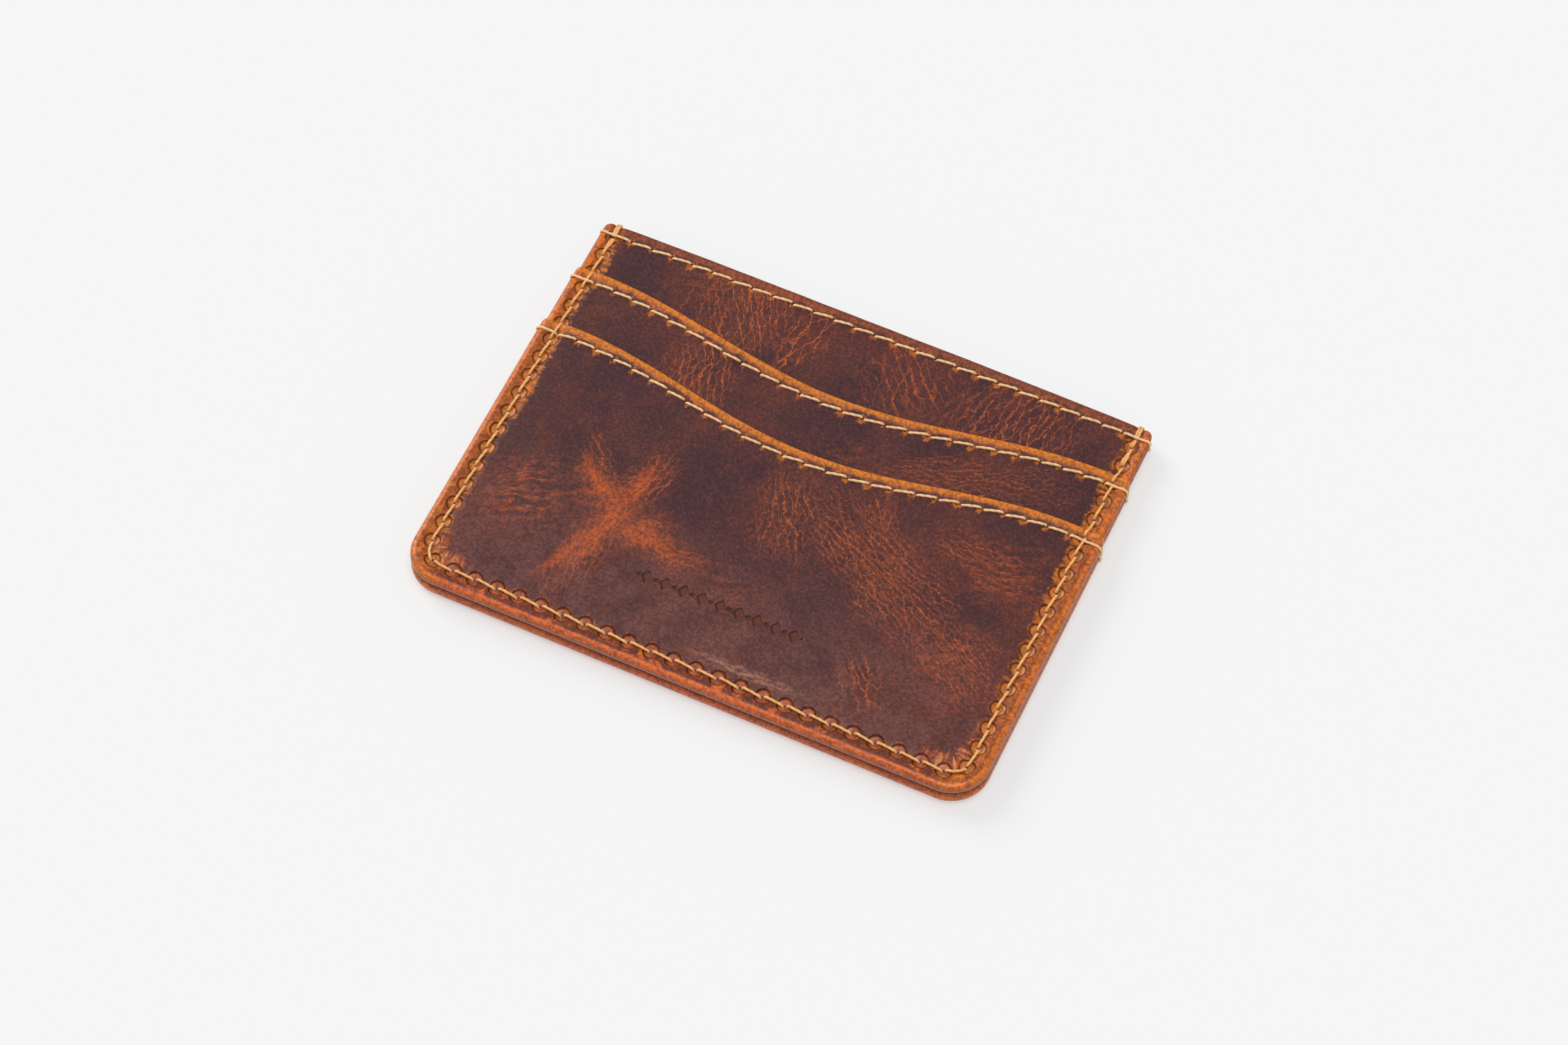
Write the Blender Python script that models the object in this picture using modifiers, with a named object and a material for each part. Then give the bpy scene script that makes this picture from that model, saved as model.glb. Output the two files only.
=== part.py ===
"""A leather card holder in metres, +Z up, lying on its back with its front face up.

Two like halves are sewn together along the left, the bottom and the right, and are open along
the top (+Y), which makes the centre pocket. Each half is a panel, a lining, and an upper and a
lower pocket. The stack is pressed thin along the border seam and is looser in the middle, so the
front is gently crowned, while the back lies flat on the table.
"""

import math

import bmesh
import bpy

# Overall sizes, at the outermost pieces
WIDTH = 0.100
HEIGHT = 0.075
CORNER_RADIUS = 0.0065

# Sheet materials
LEATHER = 0.0004
LINING_CLOTH = 0.0002
SIDE_STEP = 0.0004  # each pocket is turned round the sides over the piece below it
LINING_INSET = 0.0010

# Gaps between the sheets
BORDER_GAP = 0.0002
SLOT_GAP = 0.0006
GLUED_GAP = 0.0002
BACK_SLOT_GAP = 0.0008

# Pocket mouths: the depth of their ends below the top edge, and the dip in their middle
UPPER_MOUTH = 0.0104
UPPER_DIP = 0.0060
LOWER_MOUTH = 0.0222
LOWER_DIP = 0.0065
MOUTH_CURVE_HALF = 0.0470
UPPER_FLOOR = 0.0135  # the upper slot's floor, above the bottom edge
SHOULDER_LAP = 0.0050  # the upper pocket stays full width this far under the lower one's mouth

# Seams
THREAD = 0.0004
THREAD_GAP = 0.0002
BORDER_SEAM_INSET = 0.0031
MOUTH_SEAM_INSET = 0.0022
SEAM_END = 0.0008  # the border threads stop this far below the top edge

# How the looseness of the stack grows inwards from the border seam
RISE_FROM_SIDES = 0.0220
RISE_FROM_BOTTOM = 0.0180
MOUTH_RISE = 0.0040  # the back lower pocket leaves the table over this length below its seam

COLUMNS = 8
CORNER_COLUMNS = 5
RISE_ROWS = 5
LEAST_ROW = 0.0004
CLIMB = 0.0011  # length over which a border thread steps up onto a pocket
THREAD_ROUNDNESS = 1

TOP = HEIGHT / 2
BOTTOM = -HEIGHT / 2
SEAM_X = WIDTH / 2 - BORDER_SEAM_INSET
SEAM_Y = BOTTOM + BORDER_SEAM_INSET
STRAIGHT_HALF = WIDTH / 2 - CORNER_RADIUS
THREAD_SEAT = THREAD + THREAD_GAP

# From the back to the front: name, thickness, gap above it in the loose middle
STACK = (
    ("back_lower_pocket", LEATHER, BACK_SLOT_GAP),
    ("back_upper_pocket", LEATHER, SLOT_GAP),
    ("back_panel", LEATHER, GLUED_GAP),
    ("back_lining", LINING_CLOTH, SLOT_GAP),
    ("front_lining", LINING_CLOTH, GLUED_GAP),
    ("front_panel", LEATHER, SLOT_GAP),
    ("front_upper_pocket", LEATHER, SLOT_GAP),
    ("front_lower_pocket", LEATHER, 0.0),
)

LEATHER_COLOUR = (0.085, 0.030, 0.028, 1.0)
POCKET_COLOUR = (0.105, 0.034, 0.026, 1.0)
LINING_COLOUR = (0.035, 0.018, 0.014, 1.0)
THREAD_COLOUR = (0.870, 0.560, 0.240, 1.0)


def smooth(t):
    """0 to 1 with level ends."""
    t = min(max(t, 0.0), 1.0)
    return t * t * (3 - 2 * t)


def looseness(x, y):
    """0 at the border seam and outside it, 1 in the middle of the holder."""
    from_sides = smooth((SEAM_X - abs(x)) / RISE_FROM_SIDES)
    return from_sides * smooth((y - SEAM_Y) / RISE_FROM_BOTTOM)


def dipped(x, end_y, dip):
    """A mouth's line: a cosine that is level in the middle and at both ends."""
    phase = math.pi * min(abs(x) / MOUTH_CURVE_HALF, 1.0)
    return end_y - dip * (1 + math.cos(phase)) / 2


def upper_mouth(x):
    return dipped(x, TOP - UPPER_MOUTH, UPPER_DIP)


def lower_mouth(x):
    return dipped(x, TOP - LOWER_MOUTH, LOWER_DIP)


def panel_mouth(x):
    return TOP


def below(mouth, distance):
    """The line that runs this far below a mouth."""
    return lambda x: mouth(x) - distance


def stack_levels():
    """Each sheet's underside: its height along the border and its height in the middle."""
    levels = {}
    border = THREAD_SEAT
    middle = 0.0
    for name, thickness, gap in STACK:
        levels[name] = (border, middle, thickness)
        border += thickness + BORDER_GAP
        middle += thickness + gap
    return levels


LEVELS = stack_levels()
LIFTED = MOUTH_SEAM_INSET + THREAD + THREAD_GAP  # the width of the strip that stays off the table


def underside(name, x, y):
    """The height of a sheet's underside. The back lower pocket lifts to clear its own seam."""
    border, middle, _ = LEVELS[name]
    share = looseness(x, y)
    if name == "back_lower_pocket":
        share *= smooth((lower_mouth(x) - LIFTED - y) / MOUTH_RISE)
    return border + (middle - border) * share


def topside(name, x, y):
    return underside(name, x, y) + LEVELS[name][2]


def column_places(corner_radius):
    """Where a sheet's columns stand, from the left to the right edge."""
    right = [STRAIGHT_HALF * i / COLUMNS for i in range(1, COLUMNS + 1)]
    for i in range(1, CORNER_COLUMNS + 1):
        turn = math.pi / 2 * i / CORNER_COLUMNS
        right.append(STRAIGHT_HALF + corner_radius * math.sin(turn))
    return [-x for x in reversed(right)] + [0.0] + right


def corner_line(x, bottom, radius):
    """The bottom edge, which turns up into the sides through a quarter circle."""
    out = max(abs(x) - STRAIGHT_HALF, 0.0)
    return bottom + radius - math.sqrt(max(radius**2 - out**2, 0.0))


def row_lines(low, mouth, radius, extra):
    """The lines that a sheet's rows follow, from its low edge to its mouth."""
    shared = [SEAM_Y + RISE_FROM_BOTTOM * i / RISE_ROWS for i in range(RISE_ROWS + 1)]
    shared = [y for y in shared if y > low + LEAST_ROW]
    fan_top = shared[1]

    def line(y):
        def at(x):
            edge = corner_line(x, low, radius)
            share = (fan_top - y) / (fan_top - low)
            return y + (edge - low) * max(share, 0.0)

        return at

    seam = below(mouth, MOUTH_SEAM_INSET)
    return [line(low)] + [line(y) for y in shared] + extra + [seam, mouth]


def material(name, colour, roughness):
    made = bpy.data.materials.new(name)
    made.use_nodes = True
    shader = made.node_tree.nodes["Principled BSDF"]
    shader.inputs["Base Color"].default_value = colour
    shader.inputs["Roughness"].default_value = roughness
    shader.inputs["Metallic"].default_value = 0.0
    return made


def sheet(name, low, mouth, inset, colour, extra=(), roughness=0.45):
    """A grid laid on the stack, given its thickness by Solidify."""
    radius = CORNER_RADIUS - inset
    columns = column_places(radius)
    rows = row_lines(low + inset, mouth, radius, list(extra))
    mesh = bpy.data.meshes.new(name)
    grid = bmesh.new()
    across = len(columns) - 1
    along = len(rows) - 1
    bmesh.ops.create_grid(grid, x_segments=across, y_segments=along, size=1.0)
    for vert in grid.verts:
        column = round((vert.co.x + 1) / 2 * across)
        row = round((vert.co.y + 1) / 2 * along)
        x = columns[column]
        y = rows[row](x)
        vert.co = (x, y, underside(name, x, y))
    grid.to_mesh(mesh)
    grid.free()
    mesh.materials.append(material(name, colour, roughness))
    made = bpy.data.objects.new(name, mesh)
    PARTS.objects.link(made)
    thicken = made.modifiers.new("Thickness", "SOLIDIFY")
    thicken.thickness = LEVELS[name][2]
    thicken.offset = 1.0
    return made


def cut_to_t(made, shoulder):
    """Drops the grid's side columns below the shoulder, so the sheet is a T."""
    grid = bmesh.new()
    grid.from_mesh(made.data)
    beside = [
        face
        for face in grid.faces
        if abs(face.calc_center_median().x) > STRAIGHT_HALF
        and face.calc_center_median().y < shoulder
    ]
    bmesh.ops.delete(grid, geom=beside, context="FACES")
    grid.to_mesh(made.data)
    grid.free()


def thread(name, points):
    """A sewing thread: a round tube through the points."""
    curve = bpy.data.curves.new(name, "CURVE")
    curve.dimensions = "3D"
    curve.bevel_depth = THREAD / 2
    curve.bevel_resolution = THREAD_ROUNDNESS
    curve.use_fill_caps = True
    spline = curve.splines.new("POLY")
    spline.points.add(len(points) - 1)
    for place, point in zip(spline.points, points):
        place.co = (*point, 1.0)
    curve.materials.append(material(name, THREAD_COLOUR, 0.6))
    made = bpy.data.objects.new(name, curve)
    PARTS.objects.link(made)
    return made


def outside_face(side, piece, x, y):
    """Where a thread's middle lies on the outer face of a piece."""
    name = f"{side}_{piece}"
    if side == "front":
        return topside(name, x, y) + THREAD_GAP + THREAD / 2
    return underside(name, x, y) - THREAD_GAP - THREAD / 2


def mouth_thread(side, piece, mouth):
    """The seam below a mouth, which ends beside the border threads."""
    seam = below(mouth, MOUTH_SEAM_INSET)
    end = SEAM_X - THREAD - THREAD_GAP
    places = [x for x in column_places(CORNER_RADIUS) if abs(x) < end - THREAD]
    points = []
    for x in [-end, *places, end]:
        y = seam(x)
        points.append((x, y, outside_face(side, piece, x, y)))
    thread(f"{side}_{piece}_mouth_thread", points)


def border_thread(side):
    """The seam round the left, the bottom and the right, stepping onto each pocket."""
    upper_end = TOP - UPPER_MOUTH
    lower_end = TOP - LOWER_MOUTH
    steps = [
        (TOP - SEAM_END, "panel"),
        (upper_end + THREAD + CLIMB, "panel"),
        (upper_end + THREAD, "upper_pocket"),
        (lower_end + THREAD + CLIMB, "upper_pocket"),
        (lower_end + THREAD, "lower_pocket"),
    ]
    right = [(SEAM_X, y, outside_face(side, piece, SEAM_X, y)) for y, piece in steps]
    turn_radius = CORNER_RADIUS - BORDER_SEAM_INSET
    flat = outside_face(side, "lower_pocket", SEAM_X, SEAM_Y)
    for i in range(CORNER_COLUMNS + 1):
        turn = math.pi / 2 * i / CORNER_COLUMNS
        x = STRAIGHT_HALF + turn_radius * math.cos(turn)
        y = SEAM_Y + turn_radius * (1 - math.sin(turn))
        right.append((x, y, flat))
    left = [(-x, y, z) for x, y, z in reversed(right)]
    thread(f"{side}_border_thread", right + left)


def slot_floor_thread(side):
    """The hidden seam along the upper pocket's foot, which closes the upper slot."""
    name = f"{side}_upper_pocket"
    y = BOTTOM + UPPER_FLOOR - THREAD_GAP - THREAD / 2
    points = []
    for x in column_places(CORNER_RADIUS):
        if abs(x) <= STRAIGHT_HALF:
            z = (underside(name, x, y) + topside(name, x, y)) / 2
            points.append((x, y, z))
    thread(f"{side}_slot_floor_thread", points)


def upper_pocket(side):
    """The strip with the upper mouth, and the narrower leg that is the slot's front."""
    foot = BOTTOM + UPPER_FLOOR - SIDE_STEP
    shoulder = TOP - LOWER_MOUTH - SHOULDER_LAP
    lines = [lambda x: shoulder]
    name = f"{side}_upper_pocket"
    made = sheet(name, foot, upper_mouth, SIDE_STEP, POCKET_COLOUR, extra=lines)
    cut_to_t(made, shoulder)


def lower_pocket(side):
    lines = [below(lower_mouth, LIFTED + MOUTH_RISE), below(lower_mouth, LIFTED)]
    name = f"{side}_lower_pocket"
    sheet(name, BOTTOM, lower_mouth, 0.0, POCKET_COLOUR, extra=lines)


def lining(side):
    inset = 2 * SIDE_STEP + LINING_INSET
    top = below(panel_mouth, LINING_INSET)
    sheet(f"{side}_lining", BOTTOM, top, inset, LINING_COLOUR, roughness=0.9)


def half(side):
    sheet(f"{side}_panel", BOTTOM, panel_mouth, 2 * SIDE_STEP, LEATHER_COLOUR)
    upper_pocket(side)
    lower_pocket(side)
    lining(side)
    mouth_thread(side, "panel", panel_mouth)
    mouth_thread(side, "upper_pocket", upper_mouth)
    mouth_thread(side, "lower_pocket", lower_mouth)
    border_thread(side)
    slot_floor_thread(side)


for old in list(bpy.data.objects):
    bpy.data.objects.remove(old)

PARTS = bpy.data.collections.new("card_holder")
bpy.context.scene.collection.children.link(PARTS)

half("back")
half("front")
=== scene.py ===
"""The looks of a waxed leather card holder: turned edges, sewn seams, creased leather and cloth linings.

Shapes are worked out in millimetres. A half is described by its height above the plane between the
two halves, which points up on the front half and down on the back half.
"""

import math

import bpy
import numpy as np
from mathutils import Matrix, Vector

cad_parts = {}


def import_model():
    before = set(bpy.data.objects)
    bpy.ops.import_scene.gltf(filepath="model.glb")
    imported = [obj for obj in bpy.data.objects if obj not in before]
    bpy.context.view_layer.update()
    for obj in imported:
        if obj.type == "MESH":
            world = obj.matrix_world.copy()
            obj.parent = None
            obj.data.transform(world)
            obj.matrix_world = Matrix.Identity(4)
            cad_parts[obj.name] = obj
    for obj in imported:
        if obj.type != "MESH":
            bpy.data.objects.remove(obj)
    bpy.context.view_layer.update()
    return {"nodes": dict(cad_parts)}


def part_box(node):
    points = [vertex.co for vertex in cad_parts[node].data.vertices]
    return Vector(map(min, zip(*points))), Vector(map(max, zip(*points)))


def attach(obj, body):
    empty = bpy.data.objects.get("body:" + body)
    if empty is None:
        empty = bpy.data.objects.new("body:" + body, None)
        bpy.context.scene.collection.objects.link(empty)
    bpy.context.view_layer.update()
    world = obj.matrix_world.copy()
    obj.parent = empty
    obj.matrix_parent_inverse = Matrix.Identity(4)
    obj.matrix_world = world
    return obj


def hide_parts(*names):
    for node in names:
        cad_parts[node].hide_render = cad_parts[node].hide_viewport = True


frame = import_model()

MM = 0.001
ROOT = "root"
joined = np.concatenate
SIDES = ("front", "back")
PIECES = ("panel", "upper_pocket", "lower_pocket")


def corners_mm(node):
    low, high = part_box(node)
    return np.array(low) / MM, np.array(high) / MM


# Plan and heights, from the frame
THREAD_R = 0.20
LINING_CLOTH = 0.2
LOWER_LOW, LOWER_HIGH = corners_mm("front_lower_pocket")
UPPER_HIGH = corners_mm("front_upper_pocket")[1]
PANEL_HIGH = corners_mm("front_panel")[1]
BACK_LINING_LOW = corners_mm("back_lining")[0]
LINING_LOW, LINING_HIGH = corners_mm("front_lining")
BORDER_LOW, BORDER_HIGH = corners_mm("front_border_thread")
UPPER_SEAM_LOW, UPPER_SEAM_HIGH = corners_mm("front_upper_pocket_mouth_thread")
LOWER_SEAM_LOW, LOWER_SEAM_HIGH = corners_mm("front_lower_pocket_mouth_thread")
HALF_WIDTH = LOWER_HIGH[0]
TOP = PANEL_HIGH[1]
BOTTOM = LOWER_LOW[1]
SEAM_X = BORDER_HIGH[0] - THREAD_R
SEAM_Y = BORDER_LOW[1] + THREAD_R
SEAM_INSET = HALF_WIDTH - SEAM_X
CORNER_RADIUS = 6.5
STRAIGHT = HALF_WIDTH - CORNER_RADIUS
TURN_Y = BOTTOM + CORNER_RADIUS
MID_Z = (LINING_LOW[2] + BACK_LINING_LOW[2] + LINING_CLOTH) / 2
UPPER_MOUTH_END = UPPER_HIGH[1]
LOWER_MOUTH_END = LOWER_HIGH[1]
UPPER_DIP = UPPER_SEAM_HIGH[1] - UPPER_SEAM_LOW[1] - 2 * THREAD_R
LOWER_DIP = LOWER_SEAM_HIGH[1] - LOWER_SEAM_LOW[1] - 2 * THREAD_R
MOUTH_SEAM = 2.2
MOUTH_CURVE_HALF = 47.0
HALF_WIDTHS = {"panel": PANEL_HIGH[0], "upper_pocket": UPPER_HIGH[0], "lower_pocket": LOWER_HIGH[0]}

# The outer face's height above the middle plane, along the border and in the middle
HEIGHTS = {
    "front": {
        "panel": (1.15, PANEL_HIGH[2] - MID_Z),
        "upper_pocket": (1.70, UPPER_HIGH[2] - MID_Z),
        "lower_pocket": (2.25, LOWER_HIGH[2] - MID_Z),
    },
    "back": {
        "panel": (1.15, 0.55),
        "upper_pocket": (1.70, 1.50),
        "lower_pocket": (2.25, MID_Z - 0.09),
    },
}
INNER_FACE = {"panel": 0.34, "upper_pocket": 0.24, "lower_pocket": 0.20}
TOP_CORNERS = {"panel": 1.4, "upper_pocket": 1.0, "lower_pocket": 1.0}
HEM_RADIUS = {"panel": (0.36, 0.40), "upper_pocket": (0.27, 0.42), "lower_pocket": (0.27, 0.42)}

# Stitches
BORDER_PITCH = 3.865
BORDER_FIRST_Y = 35.0
MOUTH_PITCH = 3.67
MOUTH_PHASE = {"panel": 0.4, "upper_pocket": 1.9, "lower_pocket": 0.8}
STITCH_R = 0.22
HOLE_GAP = 0.17


def smooth(t):
    t = np.clip(t, 0.0, 1.0)
    return t * t * (3 - 2 * t)


def hill(distance, width):
    return np.exp(-((distance / width) ** 2))


def waves(x, y, seed, length, count=6):
    """A smooth random surface of about unit height, from a few sine waves."""
    rng = np.random.default_rng(seed)
    total = 0 * x
    for _ in range(count):
        turn = rng.uniform(0, 2 * math.pi)
        k = 2 * math.pi / (length * rng.uniform(0.7, 1.5))
        total = total + np.sin(k * (x * math.cos(turn) + y * math.sin(turn)) + rng.uniform(0, 6.28))
    return total / math.sqrt(count)


def mouth_of(piece):
    if piece == "panel":
        return lambda x: TOP + 0 * np.asarray(x, float)
    end, dip = (UPPER_MOUTH_END, UPPER_DIP) if piece == "upper_pocket" else (LOWER_MOUTH_END, LOWER_DIP)
    return lambda x: end - dip * (1 + np.cos(np.pi * np.minimum(np.abs(x) / MOUTH_CURVE_HALF, 1.0))) / 2


def mouth_table(piece):
    """Arc length along a mouth against x, from the middle."""
    xs = np.linspace(-HALF_WIDTH, HALF_WIDTH, 2001)
    ys = mouth_of(piece)(xs)
    arc = joined([[0], np.cumsum(np.hypot(np.diff(xs), np.diff(ys)))])
    return xs, arc - np.interp(0.0, xs, arc)


MOUTH_ARC = {piece: mouth_table(piece) for piece in PIECES}


def mouth_slope(piece, x):
    return (mouth_of(piece)(x + 0.05) - mouth_of(piece)(x - 0.05)) / 0.1


def mouth_place(piece, x, y):
    """How far along a mouth seam a point lies, in stitches, and how far below the seam."""
    xs, arc = MOUTH_ARC[piece]
    along = (np.interp(x, xs, arc) - MOUTH_PHASE[piece]) / MOUTH_PITCH
    below = (mouth_of(piece)(x) - y) / np.sqrt(1 + mouth_slope(piece, x) ** 2) - MOUTH_SEAM
    return along, below


SIDE_RUN = BORDER_FIRST_Y - TURN_Y
TURN_RUN = (SEAM_X - STRAIGHT) * math.pi / 2
BORDER_LENGTH = 2 * (SIDE_RUN + TURN_RUN + STRAIGHT)


def border_place(x, y):
    """How far along the border seam a point lies, in stitches, and how far inside the seam."""
    ax = np.abs(x)
    out_x, out_y = ax - STRAIGHT, TURN_Y - y
    turn = np.arctan2(np.maximum(out_y, 0), np.maximum(out_x, 1e-6)) / (math.pi / 2)
    on_side = HALF_WIDTH - ax < y - BOTTOM
    along = np.where(on_side, BORDER_FIRST_Y - y, SIDE_RUN + TURN_RUN + STRAIGHT - ax)
    along = np.where((out_x > 0) & (out_y > 0), SIDE_RUN + TURN_RUN * turn, along)
    along = np.where(x > 0, BORDER_LENGTH - along, along)
    flat = np.minimum(HALF_WIDTH - ax, y - BOTTOM)
    depth = np.where((out_x > 0) & (out_y > 0), CORNER_RADIUS - np.hypot(out_x, out_y), flat)
    return along / BORDER_PITCH, depth - SEAM_INSET


def border_point(along, inset=0.0):
    """The point of the border seam at so many stitches along it, moved inwards by inset."""
    s = along * BORDER_PITCH
    sign = -1.0
    if s > BORDER_LENGTH / 2:
        s, sign = BORDER_LENGTH - s, 1.0
    radius = SEAM_X - STRAIGHT - inset
    if s < SIDE_RUN:
        return np.array([sign * (SEAM_X - inset), BORDER_FIRST_Y - s])
    if s < SIDE_RUN + TURN_RUN:
        turn = (s - SIDE_RUN) / TURN_RUN * math.pi / 2
        return np.array([sign * (STRAIGHT + radius * math.cos(turn)), TURN_Y - radius * math.sin(turn)])
    return np.array([sign * (STRAIGHT + TURN_RUN + SIDE_RUN - s), SEAM_Y + inset])


def looseness(side, piece, x, y):
    """0 along the border seam, rising quickly beside it and then gently to 1 in the middle."""
    within = border_place(x, y)[1]
    quick = 1 - np.exp(-np.maximum(within, 0) / 1.7)
    across = 1 - (1 - np.clip((SEAM_X - np.abs(x)) / 34, 0, 1)) ** 2
    along = 1 - (1 - np.clip((y - SEAM_Y) / 26, 0, 1)) ** 2
    loose = (0.22 + 0.78 * across * along) * quick
    if side == "back" and piece == "lower_pocket":
        loose = loose * smooth((mouth_of(piece)(x) - MOUTH_SEAM - 0.8 - y) / 6)
    return loose


ORNAMENT_Y = -22.85
ORNAMENT_HALF = 14.4
ORNAMENT_PITCH = 3.2
ORNAMENT_DEPTH = 0.28
ORNAMENT_ZONE = 1.4  # the rows of fine mesh reach this far above and below it
LOZENGE = 1.15
DASH_HALF = (0.42, 0.24)


def ornament(x, y):
    """A pressed row of lozenges with a dash between each two."""
    cell = x / ORNAMENT_PITCH
    from_lozenge = np.abs(cell - np.round(cell)) * ORNAMENT_PITCH
    from_dash = np.abs(cell - np.floor(cell) - 0.5) * ORNAMENT_PITCH
    up = np.abs(y - ORNAMENT_Y)
    lozenge = LOZENGE - (from_lozenge * 1.25 + up)
    dash = np.minimum(DASH_HALF[0] - from_dash, DASH_HALF[1] - up)
    shape = np.maximum(lozenge, dash)
    return np.where(np.abs(x) < ORNAMENT_HALF, ORNAMENT_DEPTH * smooth((shape + 0.08) / 0.20), 0.0)


def smooth_height(side, piece, x, y):
    """The outer face without its dents."""
    border, middle = HEIGHTS[side][piece]
    h = border + (middle - border) * looseness(side, piece, x, y)
    seed = 10 * PIECES.index(piece) + (0 if side == "front" else 5)
    calm = smooth(border_place(x, y)[1] / 5)
    return h + 0.045 * waves(x, y, 71 + seed, 17) * calm + 0.014 * waves(x, y, 72 + seed, 5.5)


RIM_RIDGE = 0.15
BORDER_VALLEY = 0.22
DISC_DEPTH = 0.24
DISC_RADIUS = 1.40
MOUTH_VALLEY = 0.10
NEEDLE_DENT = 0.20


def height(side, piece, x, y):
    """The outer face, with the seams' valleys, the pressed discs, the needle holes and the ornament."""
    h = smooth_height(side, piece, x, y)
    along, within = border_place(x, y)
    stitch, below = mouth_place(piece, x, y)
    rim = within + SEAM_INSET
    h = h + RIM_RIDGE * hill(rim - 1.60, 0.7) - BORDER_VALLEY * hill(within, 0.85)
    spot = np.hypot((along - np.round(along)) * BORDER_PITCH, within)
    clear_of_hem = smooth((below + MOUTH_SEAM - 1.4) / 0.5)
    disc = smooth((DISC_RADIUS - spot) / 0.36) - 0.75 * smooth((1.05 - spot) / 1.05)
    h = h - DISC_DEPTH * disc * clear_of_hem
    h = h - MOUTH_VALLEY * hill(below, 0.55)
    hole = np.hypot((stitch - np.round(stitch)) * MOUTH_PITCH, below)
    h = h - NEEDLE_DENT * hill(hole, 0.42)
    if side == "front" and piece == "lower_pocket":
        h = h - ornament(x, y)
    return h


def outer_piece(x, y):
    """The outermost piece at a point of the face."""
    for piece in ("lower_pocket", "upper_pocket"):
        if y < mouth_of(piece)(x) - 0.15:
            return piece
    return "panel"


def outer_height(side, x, y):
    return float(smooth_height(side, outer_piece(x, y), np.float64(x), np.float64(y)))


def to_world(side, points):
    """Points (x, y, height) in millimetres as world coordinates in metres."""
    points = np.array(points, float).reshape(-1, 3)
    sign = 1 if side == "front" else -1
    points[:, 2] = MID_Z + sign * points[:, 2]
    return points * MM


def linked(name, data):
    obj = bpy.data.objects.new(name, data)
    bpy.context.scene.collection.objects.link(obj)
    return obj


def link_mesh(name, side, points, faces, attributes=None):
    """A smooth-shaded mesh piece that rides on the frame. Faces are wound for the front half."""
    mesh = bpy.data.meshes.new(name)
    if side == "back":
        faces = [tuple(reversed(face)) for face in faces]
    mesh.from_pydata(to_world(side, points).tolist(), [], [tuple(int(i) for i in f) for f in faces])
    mesh.validate()
    mesh.update()
    mesh.polygons.foreach_set("use_smooth", [True] * len(mesh.polygons))
    for key, values in (attributes or {}).items():
        layer = mesh.attributes.new(key, "FLOAT_VECTOR", "POINT")
        layer.data.foreach_set("vector", np.asarray(values, np.float32).ravel())
    obj = linked(name, mesh)
    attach(obj, ROOT)
    return obj


def grid_faces(index):
    """Quads of a grid of vertex numbers, facing up where rows rise in y and columns in x."""
    a, b, c, d = index[:-1, :-1], index[:-1, 1:], index[1:, 1:], index[1:, :-1]
    return np.stack([a, b, c, d], axis=-1).reshape(-1, 4)


def spaced(lo, hi, step):
    return np.linspace(lo, hi, max(1, round((hi - lo) / step)) + 1)


# Spacing of the mesh on the faces, and steps round the turned edges
FINE = 0.26
MIDDLE = 0.42
HIDDEN = 2.0
ORNAMENT_STEP = 0.17
MOUTH_ZONE = 5
SHOWN_BELOW_TOP = {"panel": 19, "upper_pocket": 22}
HEM_STEPS = 8
ROLL_STEPS = 14
HEM_MARGIN = (0.8, 2.5, 4.5)
SIDE_MARGIN = (0.5, 1.3)
DIP_REACH = {"panel": 10, "upper_pocket": 24, "lower_pocket": 24}
QUARTER = math.pi / 2
NEAR = 1e-9


def face_lines(side, piece, top):
    """The face's straight columns and rows, between its corner blocks and its mouth."""
    across = spaced(-STRAIGHT, STRAIGHT, MIDDLE)
    if (side, piece) == ("front", "lower_pocket"):
        run = spaced(ORNAMENT_HALF, STRAIGHT, MIDDLE)
        middle = spaced(-ORNAMENT_HALF, ORNAMENT_HALF, ORNAMENT_STEP)[1:-1]
        across = joined([-run[::-1], middle, run])
    if piece == "lower_pocket":
        low, high = ORNAMENT_Y - ORNAMENT_ZONE, ORNAMENT_Y + ORNAMENT_ZONE
        stops = [(TURN_Y, low, FINE), (low, high, ORNAMENT_STEP), (high, top - MOUTH_ZONE, MIDDLE)]
    else:
        shown_from = top - SHOWN_BELOW_TOP[piece]
        stops = [(TURN_Y, shown_from, HIDDEN), (shown_from, top - MOUTH_ZONE, MIDDLE)]
    stops.append((top - MOUTH_ZONE, top, FINE))
    rows = [spaced(*stop)[1:] for stop in stops]
    return across, joined([[TURN_Y]] + rows)


def hem_radius(side, piece, x, y):
    at_border, in_middle = HEM_RADIUS[piece]
    return at_border + (in_middle - at_border) * looseness(side, piece, x, y)


def round_corners(x, y, radius):
    """Turns the grid's two square corner blocks into round ones, in place."""
    for sign in (-1, 1):
        block = (sign * x >= STRAIGHT - NEAR) & (y <= TURN_Y + NEAR)
        a, b = (sign * x[block] - STRAIGHT) / radius, (TURN_Y - y[block]) / radius
        x[block] = sign * (STRAIGHT + radius * a * np.sqrt(1 - b * b / 2))
        y[block] = TURN_Y - radius * b * np.sqrt(1 - a * a / 2)


def outward(x, y):
    """Unit vectors that point out of the outline."""
    past = np.where(np.abs(x) > STRAIGHT, x - np.sign(x) * STRAIGHT, 0)
    out = np.stack([past, np.minimum(y - TURN_Y, 0)], -1)
    out[y > TURN_Y] = np.stack([np.sign(x), 0 * x], -1)[y > TURN_Y]
    return out / np.maximum(np.linalg.norm(out, axis=1, keepdims=True), NEAR)


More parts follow.
